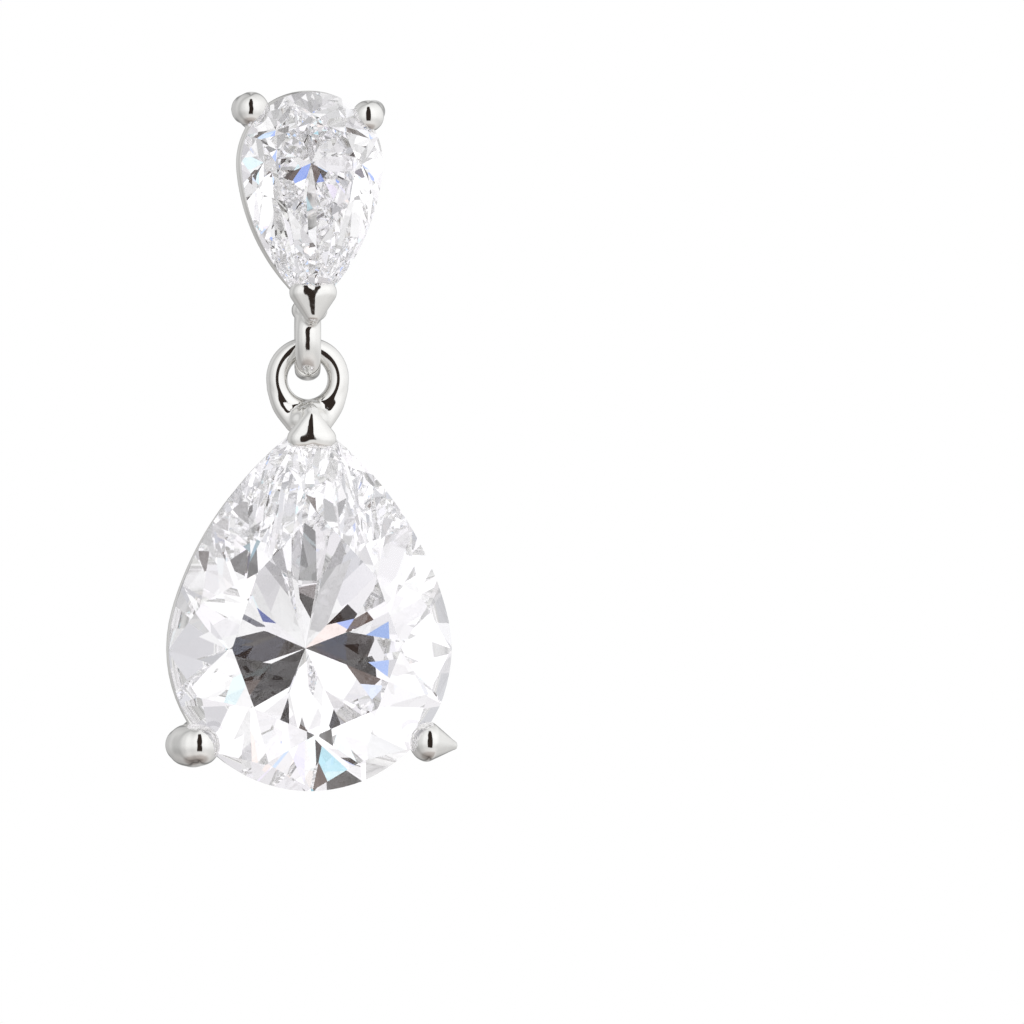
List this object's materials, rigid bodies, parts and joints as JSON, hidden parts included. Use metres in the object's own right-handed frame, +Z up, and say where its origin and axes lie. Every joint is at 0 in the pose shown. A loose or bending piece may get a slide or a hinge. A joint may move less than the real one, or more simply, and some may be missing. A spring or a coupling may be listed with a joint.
{
  "type": "teardrop earring",
  "caption": "Pear-cut crystal stud on an ear post with a larger pear-cut drop that swings from interlinked loops.",
  "frame": {"origin": "where the ear post meets the flat back of the stud setting, at the front of the ear lobe", "axes": "+Z up, from the drop towards the stud; +Y back through the ear lobe, along the post; the stones face -Y; +X to the viewer's right"},
  "size_m": [0.0102, 0.0145, 0.0246],
  "materials": {
    "metal": "polished rhodium-plated silver",
    "crystal": "colourless cubic zirconia, faceted and polished"
  },
  "bodies": {
    "stud": {"stud_setting": "metal", "stud_stone": "crystal", "ear_post": "metal"},
    "drop": {"drop_setting": "metal", "drop_stone": "crystal"}
  },
  "joints": [
    {"name": "drop_swing", "type": "hinge", "parent": "stud", "child": "drop", "pos_m": [0, -0.0019, -0.00727], "axis": [0, 1, 0], "range_deg": [-40, 40]}
  ]
}
